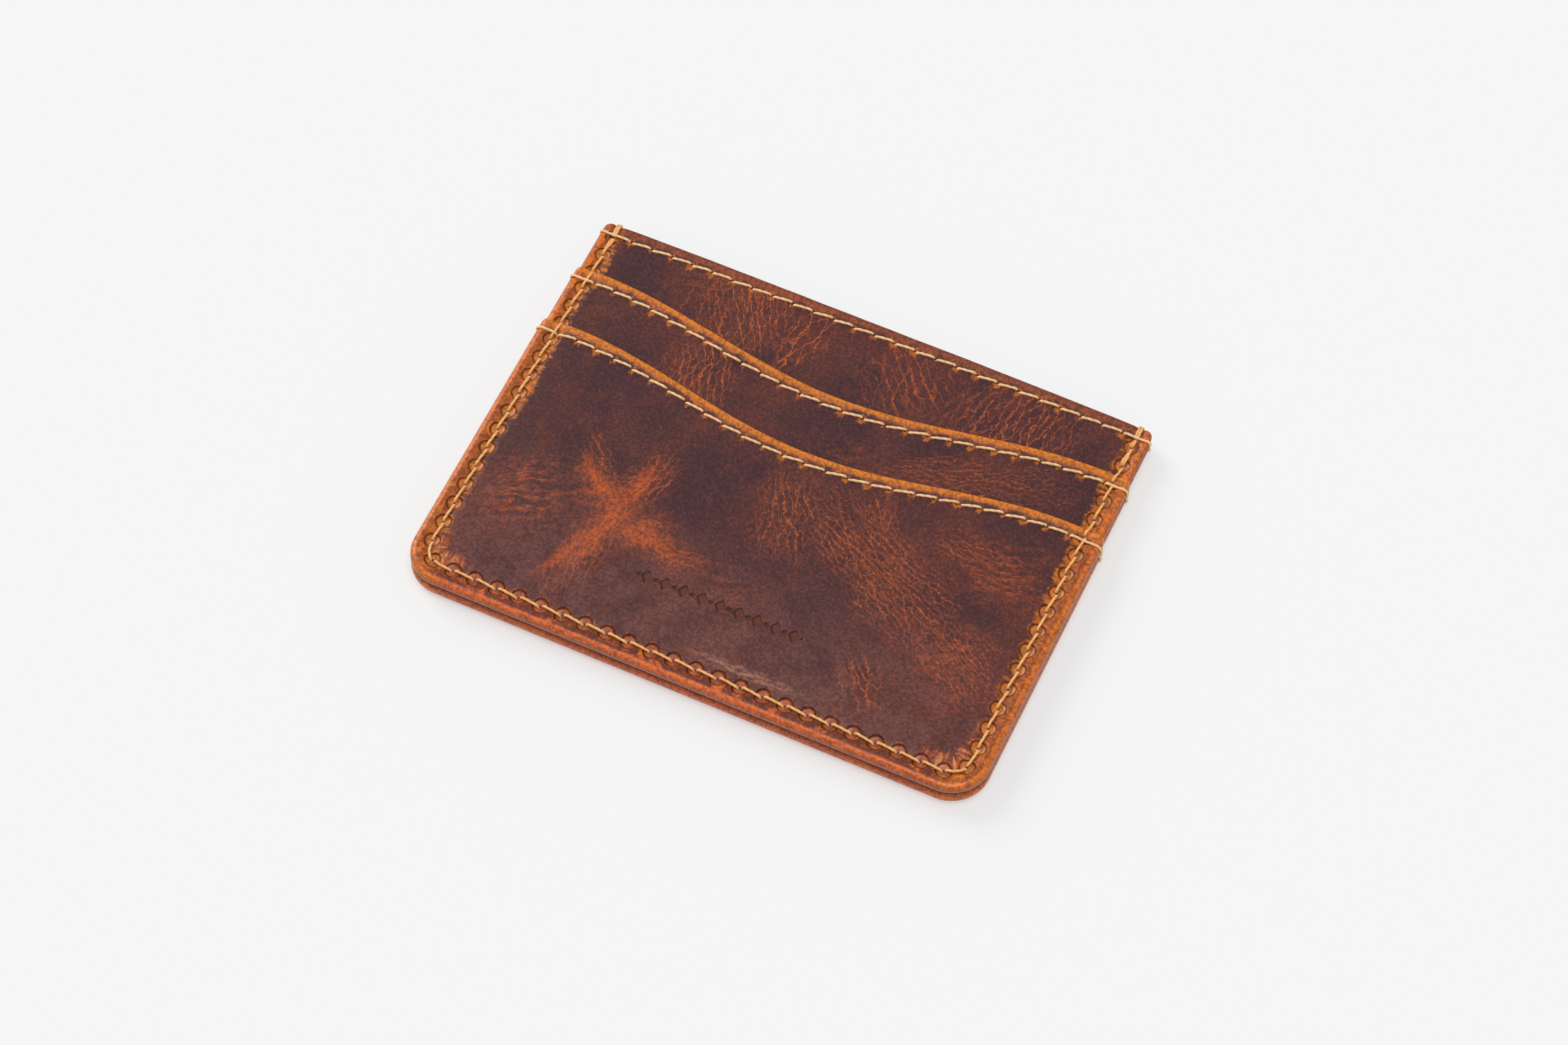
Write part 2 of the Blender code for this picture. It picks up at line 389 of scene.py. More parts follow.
class Skin:
    """A leather piece: its face, its mouth turned under, and its sides and bottom turned round."""

    def __init__(self, side, piece):
        self.side, self.piece = side, piece
        self.half_width = HALF_WIDTHS[piece]
        self.inner = INNER_FACE[piece]
        self.roll = (HEIGHTS[side][piece][0] - self.inner) / 2
        self.mouth = mouth_of(piece)
        self.top = float(self.mouth(HALF_WIDTH))
        self.points, self.seam, self.hem, self.faces = [], [], [], []
        self.lay_face()
        self.turn_mouth()
        self.turn_sides()
        self.turn_ends()

    def add(self, place, beside, rim, lip):
        """Adds points (x, y, height), with their places beside the seams read at beside."""
        start = sum(len(p) for p in self.points)
        along, within = border_place(*beside)
        stitch, below = mouth_place(self.piece, *beside)
        self.points.append(np.stack(place, -1).reshape(-1, 3))
        self.seam.append(np.stack([along, within, rim + 0 * along], -1).reshape(-1, 3))
        self.hem.append(np.stack([stitch, below, lip + 0 * along], -1).reshape(-1, 3))
        return (start + np.arange(place[0].size)).reshape(place[0].shape)

    def lay_face(self):
        radius = self.half_width - self.roll - STRAIGHT
        across, up = face_lines(self.side, self.piece, self.top)
        corner = spaced(0, radius, FINE)[1:]
        xs = joined([-STRAIGHT - corner[::-1], across, STRAIGHT + corner])
        x, y = np.meshgrid(xs, joined([TURN_Y - corner[::-1], up]))
        round_corners(x, y, radius)
        r = hem_radius(self.side, self.piece, x, np.minimum(self.mouth(x), np.full_like(x, self.top)))
        reach = DIP_REACH[self.piece]
        y = y + (self.mouth(x) - r - self.top) * smooth((y - (self.top - reach)) / reach)
        h = height(self.side, self.piece, x, y)
        inset = HALF_WIDTH - self.half_width
        rim = border_place(x, y)[1] + SEAM_INSET - inset - self.roll + self.roll * QUARTER
        lip = (self.mouth(x) - y) / np.sqrt(1 + mouth_slope(self.piece, x) ** 2) - r + r * QUARTER
        self.x, self.y, self.h, self.r, self.rim, self.lip = x, y, h, r, rim, lip
        self.face = self.add((x, y, h), (x, y), rim, lip)

    def turn_mouth(self):
        """The hem: round the mouth and down behind it."""
        turn = np.linspace(0, math.pi, HEM_STEPS + 1)[1:, None]
        x, y, h, r = self.x[-1:], self.y[-1:], self.h[-1:], self.r[-1:]
        hem_y = joined([y + r * np.sin(turn)] + [y - m for m in HEM_MARGIN])
        hem_h = joined([h - r * (1 - np.cos(turn))] + [h - 2 * r + 0 * x for m in HEM_MARGIN])
        lip = joined([r * (QUARTER - turn)] + [-r * QUARTER - m for m in HEM_MARGIN])
        hem_x, at_y, rim = (np.broadcast_to(v, hem_y.shape) for v in (x, y, self.rim[-1:]))
        self.turned = self.add((hem_x, hem_y, hem_h), (hem_x, at_y), rim, lip)
        self.faces.append(grid_faces(joined([self.face, self.turned])))

    def turn_sides(self):
        """The sides and bottom: round the outline and back in between the halves."""
        rows, cols = self.x.shape
        route = [(i, 0) for i in range(rows - 1, -1, -1)]
        route += [(0, j) for j in range(1, cols)] + [(i, cols - 1) for i in range(1, rows)]
        ri, rj = np.array(route).T
        bx, by, bh = self.x[ri, rj], self.y[ri, rj], self.h[ri, rj]
        out, roll = outward(bx, by), self.roll
        phi = np.linspace(0, math.pi, ROLL_STEPS + 1)[1:, None]
        offset = joined([roll * np.sin(phi)] + [[[-m]] for m in SIDE_MARGIN])
        share = joined([(1 + np.cos(phi)) / 2, np.zeros((len(SIDE_MARGIN), 1))])
        rim = joined([roll * (QUARTER - phi)] + [[[-roll * QUARTER - m]] for m in SIDE_MARGIN])
        px, py = bx + offset * out[:, 0], by + offset * out[:, 1]
        ph = self.inner + (bh - self.inner) * share
        wide = np.ones_like(px)
        strip = self.add((px, py, ph), (bx * wide, by * wide), rim * wide, self.lip[ri, rj] * wide)
        self.strip = joined([self.face[ri, rj][None], strip])
        self.faces.append(grid_faces(self.strip)[:, ::-1])
        self.bx, self.by, self.out, self.px, self.ph = bx, by, out, px, ph
        self.phi, self.strip_rim = phi, rim

    def turn_ends(self):
        """The hem carried round both sides."""
        turn = np.linspace(0, math.pi, HEM_STEPS + 1)[1:]
        flat = np.zeros((len(SIDE_MARGIN), 1))
        for end, column in ((0, 0), (-1, self.x.shape[1] - 1)):
            n_out = joined([np.sin(self.phi), flat]) * self.out[end, 0]
            n_up = joined([np.cos(self.phi), flat - 1])
            r, y = self.r[-1, column], self.by[end]
            depth = joined([r * (1 - np.cos(turn)), np.full(len(HEM_MARGIN), 2 * r)])
            rise = joined([r * np.sin(turn), -np.array(HEM_MARGIN)])
            lip = joined([r * (QUARTER - turn), -r * QUARTER - np.array(HEM_MARGIN)])
            qx = self.px[:, end][:, None] - n_out * depth
            qy = y + rise + 0 * qx
            qh = self.ph[:, end][:, None] - n_up * depth
            beside = (np.full_like(qx, self.bx[end]), np.full_like(qx, y))
            cap = self.add((qx, qy, qh), beside, self.strip_rim + 0 * qx, lip + 0 * qx)
            cap = joined([self.strip[1:, end][:, None], cap], axis=1)
            edge = joined([self.face[-1:, column], self.turned[:, column]])
            quads = grid_faces(joined([edge[None], cap]))
            self.faces.append(quads if end == 0 else quads[:, ::-1])

    def finish(self):
        points = joined(self.points)
        corner = TOP_CORNERS[self.piece]
        over = np.clip(np.abs(points[:, 0]) - self.half_width + corner, 0, corner)
        drop = corner - np.sqrt(corner**2 - over**2)
        points[:, 1] -= drop * smooth((points[:, 1] - self.top + 3.2) / 3.0)
        pressed = np.zeros_like(points)
        if (self.side, self.piece) == ("front", "lower_pocket"):
            pressed[:, 0] = ornament(points[:, 0], points[:, 1]) / ORNAMENT_DEPTH
        attributes = {
            "seam_place": joined(self.seam),
            "hem_place": joined(self.hem),
            "pressed": pressed,
        }
        node = f"{self.side}_{self.piece}"
        faces = joined(self.faces).tolist()
        obj = link_mesh(f"{node}_leather", self.side, points, faces, attributes)
        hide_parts(node)
        return obj


# Threads
STRAND_SIDES = 12
STRAND_LOBES = 3
LOBE_DEPTH = 0.13
TWIST_PER_MM = 3.6
PATH_STEP = 0.16
BED = 0.11  # how far a stitch is pulled into the leather
DIVE_DEPTH = 0.50
DIVE_RUN = 0.38
STITCH_POINTS = 26
SLANT = 0.20
SHIFT_SPREAD = 0.03
DOUBLED = (-0.2, 0.2)


class Threads:
    """Collects the closed, twisted lengths of one seam's thread into one mesh."""

    def __init__(self):
        self.points, self.faces, self.count = [], [], 0

    def add(self, path, twist):
        path = np.asarray(path, float)
        steps = joined([[0], np.cumsum(np.linalg.norm(np.diff(path, axis=0), axis=1))])
        even = np.linspace(0, steps[-1], max(6, round(steps[-1] / PATH_STEP)))
        path = np.stack([np.interp(even, steps, path[:, i]) for i in range(3)], -1)
        tangent = np.gradient(path, axis=0)
        tangent /= np.linalg.norm(tangent, axis=1, keepdims=True)
        side = np.cross(tangent[0], (0, 0, 1))
        if np.linalg.norm(side) < 0.2:
            side = np.cross(tangent[0], (1, 0, 0))
        turn = np.linspace(0, 2 * math.pi, STRAND_SIDES, endpoint=False)
        rings = []
        for k, (place, along) in enumerate(zip(path, tangent)):
            side = side - along * side.dot(along)
            side /= np.linalg.norm(side)
            other = np.cross(along, side)
            wound = TWIST_PER_MM * STRAND_LOBES * even[k] / 2
            lobes = 1 + LOBE_DEPTH * np.cos(STRAND_LOBES * turn - wound + twist)
            r = (STITCH_R * lobes)[:, None]
            rings.append(place + r * (np.cos(turn)[:, None] * side + np.sin(turn)[:, None] * other))
        start, n = self.count, len(rings)
        self.points += rings + [path[:1], path[-1:]]
        self.count += n * STRAND_SIDES + 2
        first, last = start + n * STRAND_SIDES, start + n * STRAND_SIDES + 1
        index = start + np.arange(n * STRAND_SIDES).reshape(n, STRAND_SIDES)
        self.faces += grid_faces(joined([index, index[:, :1]], axis=1)).tolist()
        for j in range(STRAND_SIDES):
            a, b = start + j, start + (j + 1) % STRAND_SIDES
            self.faces.append((b, a, first))
            self.faces.append((a + (n - 1) * STRAND_SIDES, b + (n - 1) * STRAND_SIDES, last))

    def finish(self, side, name, node):
        obj = link_mesh(f"{side}_{name}", side, joined(self.points), self.faces)
        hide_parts(f"{side}_{node}")
        return obj


def laid(side, plan, ends=(True, True), lift=0.0):
    """A thread's centreline over the points of plan, which rests on the leather and dives at its ends."""
    plan = np.asarray(plan, float)
    run = joined([[0], np.cumsum(np.linalg.norm(np.diff(plan, axis=0), axis=1))])
    h = np.array([outer_height(side, x, y) for x, y in plan])
    widened = np.array([h[np.abs(run - r) < 0.35].max() for r in run])
    kernel = np.array([hill(run - r, 0.35) for r in run])
    h = kernel @ widened / kernel.sum(axis=1)
    middle = np.sqrt(np.clip(np.sin(np.pi * run / run[-1]), 0, 1))
    h = h - BED + lift + 0.13 * middle
    for at_end, distance in zip(ends, (run, run[-1] - run)):
        if at_end:
            h = h - DIVE_DEPTH * (1 - smooth(distance / DIVE_RUN))
    return np.column_stack([plan, h])


def hem_wrap(side, x):
    """The border thread's way over the top edge, from the face to the inside."""
    base = float(smooth_height(side, "panel", np.float64(x), np.float64(TOP)))
    r = float(hem_radius(side, "panel", np.float64(x), np.float64(TOP)))
    turn = np.linspace(0, math.pi, 14)
    reach = r + 0.14
    y = TOP - r + reach * np.sin(turn)
    h = base - r + reach * np.cos(turn)
    flat = np.linspace(BORDER_FIRST_Y + 0.2, TOP - r - 0.1, 8)
    inside = np.linspace(TOP - r - 0.3, TOP - r - 1.6, 4)
    on_face = np.full(8, base + 0.12) - 0.4 * (1 - smooth((flat - flat[0]) / 0.5))
    ys = joined([flat, y, inside])
    hs = joined([on_face, h, np.full(4, h[-1])])
    return np.column_stack([np.full_like(ys, x), ys, hs])


def border_stitches(side):
    rng = np.random.default_rng(11 if side == "front" else 12)
    threads = Threads()
    count = int(BORDER_LENGTH / BORDER_PITCH)
    gap = HOLE_GAP / BORDER_PITCH
    for k in range(count + 1):
        start, end = k + gap, min(k + 1 - gap, BORDER_LENGTH / BORDER_PITCH - gap * 0.2)
        if end - start < 0.3:
            continue
        slant = SLANT + rng.normal(0, 0.03)
        shift = rng.normal(0, SHIFT_SPREAD)
        for offset in DOUBLED if k == 0 or k >= count - 1 else (0.0,):
            plan = []
            for s in np.linspace(0, 1, STITCH_POINTS):
                bulge = offset * math.sin(math.pi * min(1, 0.25 + s))
                inset = shift + slant * (1 - 2 * s) + bulge
                plan.append(border_point(start + (end - start) * s, inset))
            threads.add(laid(side, plan), twist=rng.uniform(0, 6))
    for sign in (-1, 1):
        for offset in (-0.2, 0.22):
            threads.add(hem_wrap(side, sign * SEAM_X + offset), twist=rng.uniform(0, 6))
    return threads.finish(side, "border_stitches", "border_thread")


def side_wrap(side, piece, x_hole, y):
    """The mouth thread's way from its last hole, over the border seam and round the side."""
    sign = math.copysign(1, x_hole)
    half_width, inner = HALF_WIDTHS[piece], INNER_FACE[piece]
    border = HEIGHTS[side][piece][0]
    roll = (border - inner) / 2
    edge = half_width - roll
    xs = np.linspace(abs(x_hole) + 0.2, edge, 20)
    plan = np.column_stack([sign * xs, np.full_like(xs, y)])
    flat = laid(side, plan, ends=(True, False), lift=0.05)
    h_edge = float(smooth_height(side, piece, np.float64(sign * edge), np.float64(y))) + 0.12
    blend = smooth((xs - edge + 1.4) / 1.4)
    flat[:, 2] = flat[:, 2] * (1 - blend) + h_edge * blend
    turn = np.linspace(0, 2.5, 14)[1:]
    reach = roll + 0.12
    round_x = sign * (edge + reach * np.sin(turn))
    round_h = h_edge - reach + reach * np.cos(turn)
    return joined([flat, np.column_stack([round_x, np.full_like(turn, y), round_h])])


def mouth_stitches(side, piece):
    rng = np.random.default_rng(21 + PIECES.index(piece) + (0 if side == "front" else 3))
    xs, arc = MOUTH_ARC[piece]
    mouth = mouth_of(piece)
    threads = Threads()
    reach = 46.6

    def at(along, below):
        x = float(np.interp(along * MOUTH_PITCH + MOUTH_PHASE[piece], arc, xs))
        slope = float(mouth_slope(piece, np.float64(x)))
        scale = math.hypot(1, slope)
        down = MOUTH_SEAM + below
        return np.array([x + down * slope / scale, float(mouth(np.float64(x))) - down / scale])

    holes = [n for n in range(-14, 15) if abs(at(n, 0)[0]) < reach]
    gap = HOLE_GAP * 0.70 / MOUTH_PITCH
    for n in holes[:-1]:
        slant = SLANT + rng.normal(0, 0.035)
        shift = rng.normal(0, SHIFT_SPREAD)
        steps = np.linspace(0, 1, STITCH_POINTS)
        plan = [at(n + gap + (1 - 2 * gap) * s, shift + slant * (1 - 2 * s)) for s in steps]
        threads.add(laid(side, plan, lift=-0.03), twist=rng.uniform(0, 6))
    for n in (holes[0], holes[-1]):
        x, y = at(n, 0)
        threads.add(side_wrap(side, piece, x, y + 0.05), twist=rng.uniform(0, 6))
    return threads.finish(side, f"{piece}_mouth_stitches", f"{piece}_mouth_thread")


# Linings
LINING_THICK = 0.12
LINING_STEP = 0.8
LINING_HEIGHTS = {"front": (0.16, 0.80), "back": (0.16, -0.36)}


def lining(side):
    """A thin cloth laid against the inside of a half."""
    half_width, low, high = LINING_HIGH[0], LINING_LOW[1], LINING_HIGH[1]
    x, y = np.meshgrid(spaced(-half_width, half_width, LINING_STEP), spaced(low, high, LINING_STEP))
    cut = (np.abs(x) > STRAIGHT) & (y < TURN_Y)
    over_x, over_y = np.abs(x) - STRAIGHT, TURN_Y - y
    reach = half_width - STRAIGHT
    square = np.maximum(over_x, over_y) / np.maximum(np.hypot(over_x, over_y), 1e-9)
    shrink = np.where(cut, square, 1.0)
    x = np.where(cut, np.sign(x) * (STRAIGHT + over_x * shrink), x)
    y = np.where(cut, TURN_Y - over_y * shrink * reach / max(reach, TURN_Y - low), y)
    border, middle = LINING_HEIGHTS[side]
    h = border + (middle - border) * looseness(side, "panel", x, y)
    h = h + 0.02 * waves(x, y, 91 if side == "front" else 92, 7)
    rows, cols = x.shape
    upper = np.arange(rows * cols).reshape(rows, cols)
    lower = upper + rows * cols
    half = LINING_THICK / 2
    points = joined([np.stack([x, y, h + s], -1).reshape(-1, 3) for s in (half, -half)])
    ring = joined([upper[0], upper[1:, -1], upper[-1, -2::-1], upper[-2:0:-1, 0]])
    rim = [(a + rows * cols, b + rows * cols, b, a) for a, b in zip(ring, np.roll(ring, -1))]
    faces = grid_faces(upper).tolist() + grid_faces(lower)[:, ::-1].tolist() + rim
    obj = link_mesh(f"{side}_lining_cloth", side, points, faces)
    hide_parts(f"{side}_lining")
    return obj


# Materials
class Graph:
    """A short way to write a material's nodes. A value is a socket, a number or a tuple."""

    def __init__(self, name):
        self.material = bpy.data.materials.new(name)
        self.material.use_nodes = True
        self.tree = self.material.node_tree
        self.shader = self.tree.nodes["Principled BSDF"]

    def feed(self, socket, value):
        if isinstance(value, bpy.types.NodeSocket):
            self.tree.links.new(value, socket)
        elif isinstance(value, tuple) and len(value) == 3 and socket.type == "RGBA":
            socket.default_value = (*value, 1.0)
        else:
            socket.default_value = value

    def node(self, kind, inputs, **settings):
        made = self.tree.nodes.new("ShaderNode" + kind)
        for key, value in settings.items():
            setattr(made, key, value)
        for key, value in inputs.items():
            self.feed(made.inputs[key], value)
        return made

    def math(self, operation, *values):
        return self.node("Math", dict(enumerate(values)), operation=operation).outputs[0]

    def vector(self, operation, *values):
        return self.node("VectorMath", dict(enumerate(values)), operation=operation).outputs[0]

    def length(self, value):
        return self.node("VectorMath", {0: value}, operation="LENGTH").outputs["Value"]

    def add(self, *values):
        total = values[0]
        for value in values[1:]:
            total = self.math("ADD", total, value)
        return total

    def times(self, *values):
        total = values[0]
        for value in values[1:]:
            total = self.math("MULTIPLY", total, value)
        return total

    def ramp(self, value, low, high):
        """0 below low and 1 above high, smoothly, or the other way round if high is below low."""
        inputs = {"Value": value, "From Min": low, "From Max": high}
        return self.node("MapRange", inputs, interpolation_type="SMOOTHSTEP").outputs[0]

    def noise(self, place, scale, detail=2.0, roughness=0.5, colour=False):
        inputs = {"Vector": place, "Scale": scale, "Detail": detail, "Roughness": roughness}
        made = self.node("TexNoise", inputs)
        return made.outputs["Color" if colour else "Fac"]

    def warped(self, place, scale, amount, detail=2.0):
        shift = self.vector("SUBTRACT", self.noise(place, scale, detail, colour=True), (0.5, 0.5, 0.5))
        return self.vector("ADD", place, self.vector("MULTIPLY", shift, (amount, amount, amount)))

    def most(self, values):
        total = 0.0
        for value in values:
            total = self.math("MAXIMUM", total, value)
        return total

    def over(self, colour, new, *shares):
        """The new colour laid over the first one, as much as the product of the shares."""
        return self.mix(self.times(*shares), colour, new)

    def mix(self, share, a, b):
        made = self.node("Mix", {0: share, 6: a, 7: b}, data_type="RGBA")
        return made.outputs[2]

    def parts(self, vector):
        made = self.node("SeparateXYZ", {0: vector})
        return made.outputs[0], made.outputs[1], made.outputs[2]

    def combine(self, x, y, z):
        return self.node("CombineXYZ", {0: x, 1: y, 2: z}).outputs[0]

    def place_mm(self):
        coordinates = self.node("TexCoord", {}).outputs["Object"]
        return self.vector("MULTIPLY", coordinates, (1000.0, 1000.0, 1000.0))

    def attribute(self, name):
        return self.parts(self.node("Attribute", {}, attribute_name=name).outputs["Vector"])

    def chance(self, number):
        """The same random value, from 0 to 1, wherever number is the same."""
        return self.node("TexWhiteNoise", {"W": number}, noise_dimensions="1D").outputs["Value"]

    def from_whole(self, value):
        """How far a value is from the nearest whole number."""
        return self.math("SUBTRACT", value, self.math("ROUND", value))

    def shade(self, values):
        for key, value in values.items():
            self.feed(self.shader.inputs[key], value)

    def surface(self, colour, rough, relief):
        """Feeds the shader. The relief is in millimetres."""
        inputs = {"Height": relief, "Distance": MM, "Strength": 1.0}
        bump = self.node("Bump", inputs).outputs[0]
        self.shade({"Base Color": colour, "Roughness": rough, "Normal": bump})


DARK = (0.063, 0.0146, 0.0176)
DARK_WARM = (0.112, 0.0242, 0.018)
RUST = (0.23, 0.048, 0.014)
VEIN = (0.56, 0.11, 0.019)
STAR = (0.6, 0.1, 0.009)
ORANGE = (0.7, 0.195, 0.01)
SCRAPE = (0.8, 0.33, 0.1)
BAND = (0.78, 0.22, 0.016)
BAND_DEEP = (0.36, 0.09, 0.028)
TOP_BAND = (0.34, 0.075, 0.03)
TOP_BAND_DEEP = (0.56, 0.135, 0.017)
SIDE_RIM = (0.85, 0.185, 0.008)
LOW_RIM = (0.8, 0.15, 0.019)
# Dark red-brown for stains on the rim, and painted shade in the groove between the halves, round the pressed
# discs and under the mouth thread.
STAIN_AND_SHADE = (0.11, 0.02, 0.01)
# Painted shade on the lower half of the turned roll.
ROLL_SHADE = (0.26, 0.046, 0.014)
STRIP = (0.115, 0.025, 0.017)
DISC_LOW = (0.48, 0.1, 0.018)
DISC_SIDE = (0.7, 0.195, 0.011)
# Painted shade in the needle holes.
HOLE_SHADE = (0.03, 0.008, 0.005)
PIT = (0.02, 0.006, 0.007)
# Painted sheen: a greyish haze of reflected light over the lower part of a face.
PAINTED_SHEEN = (0.24, 0.076, 0.056)
# Painted gloss highlight along the bottom seam.
GLOSS_HIGHLIGHT = (0.42, 0.175, 0.11)
PRESSED = (0.055, 0.009, 0.005)
PRESSED_FLOOR = (0.15, 0.028, 0.01)
HALO_DEEP = (0.465, 0.12, 0.012)
NEEDLE_SMUDGE = (0.62, 0.16, 0.012)
PEBBLE_TOP = (0.5, 0.19, 0.09)
TWILL_DARK = (0.03, 0.016, 0.012)
TWILL_LIGHT = (0.075, 0.042, 0.03)


def crease_lines(g, place, lean, seed):
    """Thin wavy lines a unit apart, which run along the local Y axis and fade in and out."""
    x, y, _ = g.parts(place)
    slow = g.noise(g.combine(g.times(x, 0.11), g.times(y, 0.08), seed), 1.0, 2.0)
    mid = g.noise(g.combine(g.times(x, 0.45), g.times(y, 0.36), seed + 3.3), 1.0, 2.0)
    quick = g.noise(g.combine(g.times(x, 1.8), g.times(y, 1.4), seed + 7.1), 1.0, 2.0)
    across = g.add(x, g.times(y, lean), g.times(4.0, slow), g.times(1.5, mid), g.times(0.9, quick))
    number = g.math("FLOOR", across)
    off = g.math("ABSOLUTE", g.math("SUBTRACT", g.math("FRACT", across), 0.5))
    pick = g.chance(g.add(number, seed))
    width = g.add(0.02, g.times(0.12, quick), g.times(0.05, pick))
    line = g.ramp(off, width, g.times(0.25, width))
    run = g.noise(g.combine(g.times(number, 5.7), g.times(y, 0.14), seed), 1.0, 1.0)
    return g.times(line, g.ramp(run, 0.30, 0.45), g.add(0.62, g.times(0.38, pick)))


def turned_about(g, place, x, y, degrees):
    local = g.vector("SUBTRACT", place, (x, y, 0.0))
    inputs = {"Vector": local, "Angle": math.radians(degrees)}
    return g.node("VectorRotate", inputs, rotation_type="Z_AXIS").outputs[0]


def region(g, bent, x, y, wide, long, degrees, outer=1.2, inner=0.4):
    """A soft oval mask."""
    shape = g.vector("MULTIPLY", turned_about(g, bent, x, y, degrees), (1.0 / wide, 1.0 / long, 0.0))
    return g.ramp(g.length(shape), outer, inner)


def creases(g, place, bent, fields, seed):
    """Patches of wavy creases, each of which runs along its own flow. Returns their lines and their mask."""
    chosen, total = g.vector("MULTIPLY", place, (0.7, 0.7, 0.0)), 0.0
    for number, (x, y, wide, long, flow, cell, strength) in enumerate(fields):
        mask = g.times(region(g, bent, x, y, wide, long, flow), strength)
        scaled = g.vector("MULTIPLY", turned_about(g, place, x, y, flow), (1.0 / cell, 1.0 / cell, 0.0))
        scaled = g.vector("ADD", scaled, (31.0 * number, 17.0 * number, 0.0))
        wins = g.math("GREATER_THAN", mask, total)
        chosen = g.node("Mix", {0: wins, 4: chosen, 5: scaled}, data_type="VECTOR").outputs[1]
        total = g.math("MAXIMUM", total, mask)
    first = crease_lines(g, chosen, 0.18, seed)
    second = crease_lines(g, g.vector("MULTIPLY", chosen, (0.74, 0.9, 1.0)), -0.24, seed + 20.0)
    return g.times(g.math("MAXIMUM", first, g.times(0.7, second)), total), total


class LeatherGraph(Graph):
    """A leather's nodes, with the places and patterns that its parts share."""

    def __init__(self, name, seed):
        super().__init__(name)
        self.seed = seed
        self.place = self.place_mm()
        self.drift = self.vector("ADD", self.place, (37.0 * seed, 11.0 * seed, 5.0 * seed))
        self.along, self.within, self.rim = self.attribute("seam_place")
        self.stitch, self.below, self.lip = self.attribute("hem_place")
        self.cloud = self.noise(self.drift, 0.23, 4.0, 0.62)
        self.speck = self.noise(self.drift, 2.6, 2.0, 0.6)
        self.blot = self.noise(self.drift, 0.8, 4.0, 0.62)
        pebble_place = self.warped(self.drift, 1.2, 0.5)
        inputs = {"Vector": pebble_place, "Scale": 2.2}
        self.pebbles = self.node("TexVoronoi", inputs, feature="SMOOTH_F1").outputs["Distance"]
        side_x = self.math("ABSOLUTE", self.parts(self.place)[0])
        self.on_side = self.ramp(side_x, STRAIGHT - 2.0, STRAIGHT + 1.5)
        round_seam = self.times(self.along, BORDER_PITCH * 1.5)
        rays = self.combine(round_seam, self.times(self.within, 0.24), 3.1 * seed)
        self.brush = self.noise(rays, 1.0, 4.0, 0.66)
        step = self.times(self.from_whole(self.along), BORDER_PITCH)
        self.spot = self.length(self.combine(step, self.within, 0.0))
        self.clear = self.ramp(self.lip, 1.6, 2.2)
        self.step_stitch = self.times(self.from_whole(self.stitch), MOUTH_PITCH)
        across, down = self.times(0.8, self.step_stitch), self.times(1.3, self.below)
        self.hole = self.ramp(self.length(self.combine(across, down, 0.0)), 0.36, 0.18)


def worn_colour(g, fields, smudges, scuffs, scrapes, hazy):
    """The waxed face with its rubbed patches, creases, scuffs and scrapes."""
    colour = g.mix(g.ramp(g.noise(g.drift, 0.075, 3.0), 0.38, 0.64), DARK, DARK_WARM)
    colour = g.over(colour, RUST, 0.32, g.ramp(g.cloud, 0.52, 0.74))
    bent = g.warped(g.place, 0.12, 9.0, 3.0)
    brushed = turned_about(g, g.place, 0.0, 0.0, -25.0)
    brushed = g.noise(g.vector("MULTIPLY", brushed, (0.38, 1.0, 1.0)), 1.05, 6.0, 0.70)
    rubbed = g.most(g.times(amount, region(g, bent, *oval, 1.2, 0.1)) for *oval, amount in smudges)
    colour = g.over(colour, VEIN, rubbed, g.ramp(brushed, 0.42, 0.68))
    lines, mask = creases(g, g.place, bent, fields, g.seed)
    haze = g.times(hazy, mask, g.ramp(g.noise(g.drift, 0.6, 5.0, 0.65), 0.38, 0.68))
    colour = g.mix(haze, colour, RUST)
    colour = g.mix(lines, colour, VEIN)
    if scuffs:
        worn = g.most(region(g, bent, *oval, 1.35, 0.0) for oval in scuffs)
        worn = g.times(worn, g.ramp(g.noise(g.drift, 1.6, 5.0, 0.74), 0.28, 0.58), 0.95)
        colour = g.mix(worn, colour, STAR)
    if scrapes:
        worn = g.most(region(g, g.place, x, y, r, r, 0.0, 1.0, 0.3) for x, y, r in scrapes)
        worn = g.times(worn, g.ramp(g.within, 3.9, 0.9))
        rays = g.add(g.brush, g.times(0.22, worn))
        colour = g.over(colour, STAR, g.ramp(worn, 0.0, 0.5), g.ramp(rays, 0.50, 0.68), 0.8)
        colour = g.over(colour, SCRAPE, g.ramp(worn, 0.1, 0.6), g.ramp(rays, 0.66, 0.76), 0.9)
    return colour


def hazed_colour(g, colour, gloss, sheen_share):
    """A painted sheen of reflected light over the lower part of a face, and a painted gloss highlight streak
    along its bottom seam.
    """
    x, y, _ = g.parts(g.place)
    if sheen_share:
        # Painted sheen of reflected light, stronger towards the bottom.
        colour = g.over(colour, PAINTED_SHEEN, sheen_share, g.ramp(y, -4.0, -30.0), g.ramp(g.cloud, 0.70, 0.40))
    if gloss:
        at_x, at_y, half_length, half_width = gloss
        local = g.vector("SUBTRACT", g.place, (at_x, at_y, 0.0))
        local = g.vector("MULTIPLY", local, (1.0 / half_length, 1.0 / half_width, 0.0))
        streak = g.noise(g.combine(g.times(x, 0.5), g.times(y, 1.9), g.seed), 1.0, 5.0, 0.65)
        share = g.times(g.ramp(g.length(local), 1.0, 0.3), g.ramp(streak, 0.38, 0.58), 0.80)
        # Painted gloss highlight: a broken streak of reflected light.
        colour = g.mix(share, colour, GLOSS_HIGHLIGHT)
    return colour


